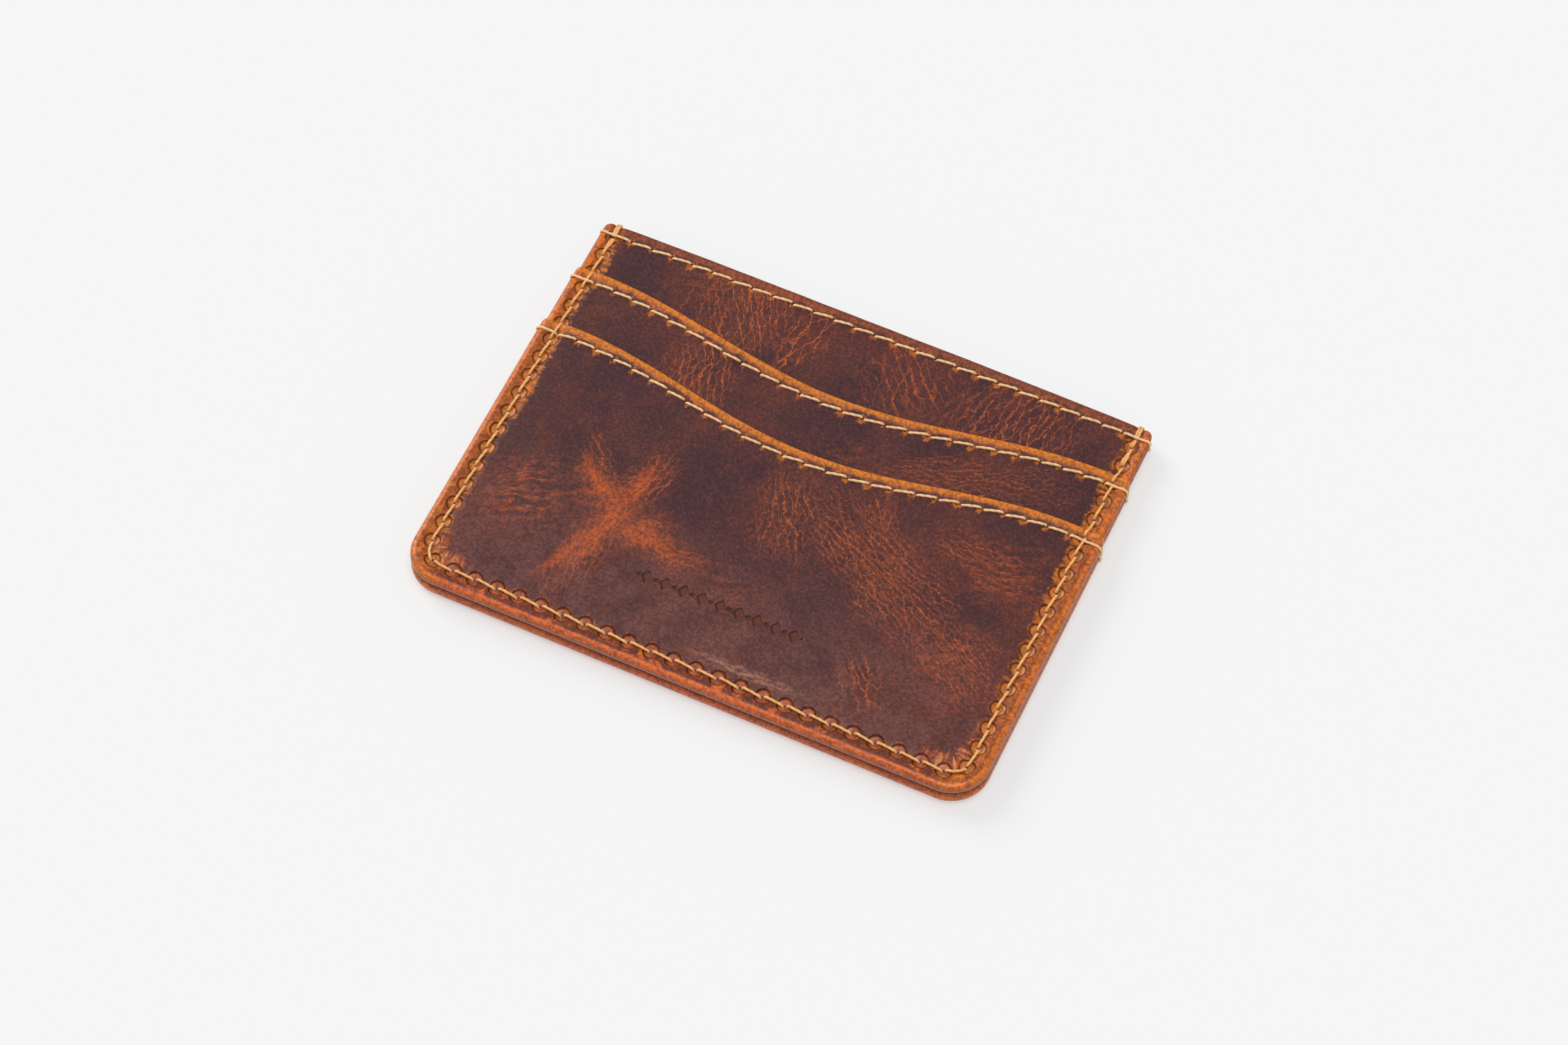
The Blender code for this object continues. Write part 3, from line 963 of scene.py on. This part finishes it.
def rim_colour(g, roll_shade):
    """The leather outside the border seam and round the edge, with dark stains, painted shade on the lower
    half of the turned roll and painted shade in the groove between the halves.
    """
    colour = g.mix(g.on_side, LOW_RIM, SIDE_RIM)
    colour = g.over(colour, STAIN_AND_SHADE, 0.45, g.ramp(g.blot, 0.44, 0.70))
    stain = g.ramp(g.noise(g.drift, 0.35, 3.0), 0.46, 0.66)
    colour = g.over(colour, ORANGE, g.on_side, stain, 0.60)
    # Painted shade: the lower half of the turned roll darkened, less on the back pieces.
    colour = g.over(colour, ROLL_SHADE, g.ramp(g.rim, 1.1, -0.1), roll_shade)
    beside = g.times(g.ramp(g.rim, 1.35, 1.85), g.math("SUBTRACT", 1.0, g.times(0.35, g.on_side)))
    strip = g.ramp(g.noise(g.drift, 0.5, 3.0), 0.30, 0.50)
    colour = g.over(colour, STRIP, beside, strip, 0.90)
    # Painted shade in the groove between the two halves.
    return g.over(colour, STAIN_AND_SHADE, g.ramp(g.rim, -0.8, -1.6), 0.85)


def border_colour(g, colour, roll_shade):
    """The rubbed leather beside the border seam, the rim, and the pressed discs with their holes, with a
    painted shade ring round each disc and painted shade in each hole.
    """
    patch = g.noise(g.combine(g.along, g.within, 7.0 * g.seed), 0.45, 2.0)
    spread = g.add(g.times(2.4, g.brush), g.times(2.6, patch), -1.75)
    reach = g.times(spread, g.add(0.45, g.times(0.75, g.on_side)))
    halo = g.ramp(g.math("SUBTRACT", g.within, reach), 0.9, -0.1)
    upper = g.ramp(g.parts(g.place)[1], -16.0, 6.0)
    share = g.add(0.20, g.times(g.on_side, g.add(0.25, g.times(0.50, upper))))
    halo = g.times(halo, g.ramp(g.add(g.brush, patch), 0.80, 1.06), share)
    halo_colour = g.mix(g.ramp(g.brush, 0.36, 0.60), HALO_DEEP, ORANGE)
    colour = g.mix(halo, colour, halo_colour)
    colour = g.mix(g.ramp(g.within, -0.1, -1.0), colour, rim_colour(g, roll_shade))
    rays = g.ramp(g.add(g.brush, g.times(0.12, g.on_side)), 0.46, 0.66)
    near = g.times(g.ramp(g.spot, 2.0, 1.2), g.clear, rays)
    colour = g.over(colour, halo_colour, near, 0.45)
    disc = g.mix(g.on_side, DISC_LOW, DISC_SIDE)
    disc = g.mix(g.times(0.5, g.ramp(g.blot, 0.42, 0.62)), disc, RUST)
    colour = g.over(colour, disc, g.ramp(g.spot, 1.36, 1.22), g.clear)
    # Painted shade: a dark ring on the sunken rim of each pressed disc.
    ring = g.ramp(g.math("ABSOLUTE", g.math("SUBTRACT", g.spot, 1.24)), 0.24, 0.04)
    colour = g.over(colour, STAIN_AND_SHADE, ring, g.clear, 0.55)
    # Painted shade in each needle hole.
    return g.over(colour, HOLE_SHADE, 0.85, g.ramp(g.spot, 0.32, 0.16))


def mouth_colour(g, colour, hem_share):
    """The mouth, rubbed orange down to its seam, with a smudge under each needle hole, painted shade in each
    hole and a painted shade line along the seam under the thread.
    """
    wave = g.noise(g.drift, 0.42, 3.0, 0.6)
    band = g.ramp(g.add(g.lip, g.times(2.2, wave)), 3.2, 2.4)
    band = g.times(band, g.add(hem_share - 0.25, g.times(0.5, g.blot)))
    light, low = (BAND, BAND_DEEP) if hem_share == 1.0 else (TOP_BAND, TOP_BAND_DEEP)
    deep = g.ramp(g.add(g.lip, g.times(1.8, g.blot), g.times(0.5, g.speck)), 1.7, 3.0)
    colour = g.mix(band, colour, g.mix(g.times(0.65, deep), light, low))
    rays = g.combine(g.times(g.stitch, MOUTH_PITCH * 1.9), g.times(g.below, 0.8), g.seed)
    ragged = g.noise(rays, 1.0, 4.0, 0.66)
    at = g.combine(g.add(g.step_stitch, -0.05), g.times(0.75, g.add(g.below, -0.35)), 0.0)
    chance = g.chance(g.add(g.math("ROUND", g.stitch), g.seed))
    smudge = g.add(g.length(at), g.times(2.6, ragged), g.times(-0.5, chance))
    colour = g.over(colour, NEEDLE_SMUDGE, g.ramp(smudge, 1.75, 1.25), 0.80)
    # Painted shade in each needle hole.
    colour = g.over(colour, HOLE_SHADE, g.hole, 0.9)
    # Painted shade along the seam line, under the thread.
    return g.over(colour, STAIN_AND_SHADE, 0.15, g.ramp(g.math("ABSOLUTE", g.below), 0.5, 0.15))


def grain_colour(g, colour):
    """Dark pits between lighter pebbles, and the pressed ornament."""
    colour = g.over(colour, PIT, 0.30, g.ramp(g.speck, 0.52, 0.78))
    colour = g.over(colour, PIT, 0.40, g.ramp(g.pebbles, 0.34, 0.60))
    colour = g.over(colour, PEBBLE_TOP, 0.11, g.ramp(g.pebbles, 0.30, 0.10))
    pressed = g.attribute("pressed")[0]
    colour = g.over(colour, PRESSED, 0.90, g.ramp(pressed, 0.05, 0.6))
    return g.over(colour, PRESSED_FLOOR, 0.70, g.ramp(pressed, 0.90, 1.0))


def leather_relief(g):
    """Grain, wrinkles round the edge, pressed discs and needle holes, in millimetres."""
    fine = g.noise(g.drift, 5.5, 2.0, 0.6)
    places = g.combine(g.times(g.along, BORDER_PITCH * 2.6), g.times(g.rim, 0.35), 1.7 * g.seed)
    wrinkles = g.noise(places, 1.0, 3.0, 0.6)
    relief = g.add(g.times(g.pebbles, -0.050), g.times(fine, 0.022))
    relief = g.add(relief, g.times(wrinkles, g.ramp(g.rim, 2.2, 1.0), 0.08))
    dish = g.add(g.times(-0.28, g.ramp(g.spot, 1.44, 1.10)), g.times(0.26, g.ramp(g.spot, 1.10, 0.20)))
    return g.add(relief, g.times(dish, g.clear), g.times(g.hole, -0.12))


def leather(
    name, seed, fields, smudges,
    scuffs=(), scrapes=(), gloss=None, sheen_share=0.0, hazy=0.40, hem_share=1.0, roll_shade=0.85,
):
    g = LeatherGraph(name, seed)
    colour = worn_colour(g, fields, smudges, scuffs, scrapes, hazy)
    colour = hazed_colour(g, colour, gloss, sheen_share)
    colour = border_colour(g, colour, roll_shade)
    colour = mouth_colour(g, colour, hem_share)
    colour = grain_colour(g, colour)
    rolled = g.ramp(g.rim, 1.9, 0.9)
    clouded = g.times(0.10, g.ramp(g.cloud, 0.3, 0.7))
    rough = g.add(0.40, g.times(0.16, g.speck), clouded, g.times(-0.12, rolled))
    g.surface(colour, rough, leather_relief(g))
    dished = g.times(g.clear, g.ramp(g.spot, 1.30, 1.00))
    coat = g.add(0.04, g.times(0.60, g.math("MAXIMUM", rolled, dished)))
    g.shade({"Coat Weight": coat, "Specular IOR Level": 0.30, "Coat Roughness": 0.20})
    return g.material


THREAD_COLOURS = {
    "border": ((0.96, 0.51, 0.17), (0.88, 0.39, 0.10), (1.0, 0.67, 0.34)),
    "mouth": ((0.97, 0.64, 0.31), (0.90, 0.51, 0.20), (1.0, 0.78, 0.49)),
}


def thread_material(seam):
    g = Graph(f"{seam}_waxed_thread")
    place = g.place_mm()
    light, deep, fuzz = THREAD_COLOURS[seam]
    colour = g.mix(g.ramp(g.noise(place, 0.9, 3.0), 0.3, 0.7), light, deep)
    fibre = g.noise(place, 9.0, 3.0, 0.7)
    colour = g.over(colour, fuzz, 0.5, g.ramp(fibre, 0.45, 0.75))
    g.surface(colour, g.add(0.55, g.times(0.2, fibre)), g.times(fibre, 0.03))
    g.shade({"Sheen Weight": 0.15})
    return g.material


def lining_material():
    """A brown twill: diagonal ribs crossed by finer weft."""
    g = Graph("lining_twill")
    place = g.place_mm()
    x, y, _ = g.parts(place)
    rib = g.math("SINE", g.times(9.0, g.add(x, y)))
    weft = g.math("SINE", g.times(16.0, g.add(x, g.times(-1.0, y))))
    weave = g.add(g.times(0.5, rib), g.times(0.25, weft), g.times(0.5, g.noise(place, 4.0, 3.0)))
    colour = g.mix(g.ramp(weave, -0.4, 0.9), TWILL_DARK, TWILL_LIGHT)
    g.surface(colour, g.add(0.75, g.times(0.15, g.noise(place, 1.0))), g.times(weave, 0.03))
    g.shade({"Sheen Weight": 0.2})
    return g.material


# Creases: x, y, half-width, half-length, flow, spacing, strength
# Smudges: x, y, half-width, half-length, turn, strength
# Scuffs: x, y, half-width, half-length, turn
# Scrapes: x, y, radius
# Gloss: x, y, half-length, half-width
LOOKS = {
    ("front", "panel"): dict(
        seed=1, hem_share=0.60,
        fields=[
            (-21, 30, 10, 11, -18, 1.15, 1.0), (-9, 29, 4, 9, 8, 1.7, 1.0),
            (9, 29, 9, 9, -35, 1.6, 0.7), (28, 29, 12, 10, 5, 1.35, 0.9),
        ],
        smudges=[(-27, 33, 8, 4, 0, 0.35)],
    ),
    ("front", "upper_pocket"): dict(
        seed=2,
        fields=[(-22, 16, 6, 9, -14, 1.2, 1.0), (26, 16, 4.5, 17, 72, 0.9, 0.8)],
        smudges=[(8, 12, 5, 4, 0, 0.3)],
    ),
    ("front", "lower_pocket"): dict(
        seed=3, gloss=(9, -31.9, 13, 1.3), sheen_share=0.42, hazy=0.62,
        scuffs=[
            (-23.6, -14.3, 3.6, 4.2, 0), (-21.8, -9.8, 1.7, 6.2, 21), (-16.5, -15.6, 1.7, 7.0, 98),
            (-24.4, -20.5, 1.8, 7.0, 5), (-27.6, -10.6, 1.6, 5.4, -48), (-27.0, -23.5, 1.4, 7.5, 22),
        ],
        scrapes=[(-42.8, -31.4, 5.2), (42.8, -31.4, 5.0)],
        fields=[
            (-24.5, -23, 5, 11, 6, 1.2, 0.9), (-27.5, -9.5, 4, 9, -38, 1.1, 0.8),
            (-20.5, -8, 4, 7, 22, 1.4, 0.8), (3, -3, 7, 10, 155, 1.1, 0.8),
            (21, -7, 8, 22, 121, 1.0, 1.0), (38, -17, 7, 10, 132, 0.8, 0.9),
            (26, -26, 4, 6, 140, 1.4, 1.0), (35, 2, 5, 10, 100, 1.3, 0.6),
            (17, 1, 5, 9, 158, 1.1, 0.8), (-13, -17, 4, 9, 100, 1.1, 0.7),
        ],
        smudges=[
            (-37, -17, 9, 9, -25, 0.75), (-27, -11, 4, 7, 40, 0.85), (-15, -16, 10, 4, 8, 0.85),
            (-25, -22, 4, 9, 0, 0.8), (2, -21, 12, 5, 20, 0.35), (36, -17, 8, 9, 35, 0.65),
            (38, 2, 9, 8, 0, 0.55), (20, -6, 14, 7, 32, 0.35), (24, -30, 8, 3, 0, 0.3),
        ],
    ),
    # The back pieces get less painted shade on their rolls.
    ("back", "panel"): dict(
        seed=5, hem_share=0.60, roll_shade=0.25,
        fields=[(18, 29, 12, 10, 10, 1.6, 0.9)], smudges=[(-20, 31, 9, 4, 0, 0.3)],
    ),
    ("back", "upper_pocket"): dict(
        seed=6, roll_shade=0.25, fields=[(-8, 17, 14, 9, -12, 1.4, 0.8)], smudges=[(30, 18, 7, 4, 0, 0.3)],
    ),
    ("back", "lower_pocket"): dict(
        seed=7, sheen_share=0.3, hazy=0.5, roll_shade=0.25,
        scuffs=[(20, -6, 2.6, 6.0, 30), (23, -9, 1.6, 6.0, -60)],
        scrapes=[(-43, -31.4, 4.0), (43, -31.4, 4.6)],
        fields=[
            (-18, -12, 10, 22, 28, 1.2, 0.9), (22, -20, 7, 12, -10, 1.3, 0.9), (30, 2, 6, 10, 60, 1.4, 0.7),
        ],
        smudges=[(-34, -6, 8, 10, 0, 0.6), (4, -24, 14, 7, 0, 0.5), (20, -6, 6, 8, 30, 0.6)],
    ),
}

thread_finish = {seam: thread_material(seam) for seam in THREAD_COLOURS}
lining_finish = lining_material()
for side in SIDES:
    for piece in PIECES:
        finish = leather(f"{side}_{piece}_finish", **LOOKS[side, piece])
        Skin(side, piece).finish().data.materials.append(finish)
        mouth_stitches(side, piece).data.materials.append(thread_finish["mouth"])
    border_stitches(side).data.materials.append(thread_finish["border"])
    lining(side).data.materials.append(lining_finish)
    floor_thread = frame["nodes"][f"{side}_slot_floor_thread"]
    floor_thread.data.materials.clear()
    floor_thread.data.materials.append(thread_finish["mouth"])

# Stage
FLOOR_HALF = 3.0
FLOOR_COLOUR = (0.45, 0.45, 0.45)
FLOOR_GLOW = 0.46
SKY = (0.97, 0.985, 1.0, 1.0)
SKY_STRENGTH = 0.42
SUNS = (
    ("overhead", (0.10, -0.10, 1.0), 1.25, 34),
    ("window", (-0.80, 0.30, 0.60), 1.15, 34),
)


def floor():
    mesh = bpy.data.meshes.new("floor")
    low, high = -FLOOR_HALF, FLOOR_HALF
    mesh.from_pydata([(low, low, 0), (high, low, 0), (high, high, 0), (low, high, 0)], [], [(0, 1, 2, 3)])
    obj = linked("floor", mesh)
    g = Graph("floor_paper")
    g.shade({"Base Color": FLOOR_COLOUR, "Roughness": 0.9, "Specular IOR Level": 0.1})
    g.shade({"Emission Color": (1.0, 1.0, 1.0), "Emission Strength": FLOOR_GLOW})
    mesh.materials.append(g.material)


def sun(name, direction, strength, spread):
    light = bpy.data.lights.new(name, "SUN")
    light.energy = strength
    light.angle = math.radians(spread)
    obj = linked(name, light)
    obj.rotation_mode = "QUATERNION"
    obj.rotation_quaternion = Vector(direction).to_track_quat("Z", "Y")


def world():
    made = bpy.data.worlds.new("studio")
    made.use_nodes = True
    background = made.node_tree.nodes["Background"]
    background.inputs["Color"].default_value = SKY
    background.inputs["Strength"].default_value = SKY_STRENGTH
    bpy.context.scene.world = made


CAMERA_AT = (0.16825, -0.37562, 0.66561)
CAMERA_RIGHT = (0.90746, 0.42006, 0.00839)
CAMERA_FORWARD = (-0.21381, 0.47889, -0.85144)
CAMERA_LENS = 111.69


def camera():
    data = bpy.data.cameras.new("camera")
    data.lens = CAMERA_LENS
    data.sensor_width = 36.0
    data.sensor_fit = "HORIZONTAL"
    data.clip_start, data.clip_end = 0.01, 20.0
    obj = linked("camera", data)
    forward = Vector(CAMERA_FORWARD).normalized()
    right = Vector(CAMERA_RIGHT)
    right = (right - forward * right.dot(forward)).normalized()
    turn = Matrix((right, right.cross(forward), -forward)).transposed()
    obj.matrix_world = Matrix.Translation(CAMERA_AT) @ turn.to_4x4()
    bpy.context.scene.camera = obj


floor()
world()
for values in SUNS:
    sun(*values)
camera()
bpy.context.scene.view_settings.view_transform = "Standard"
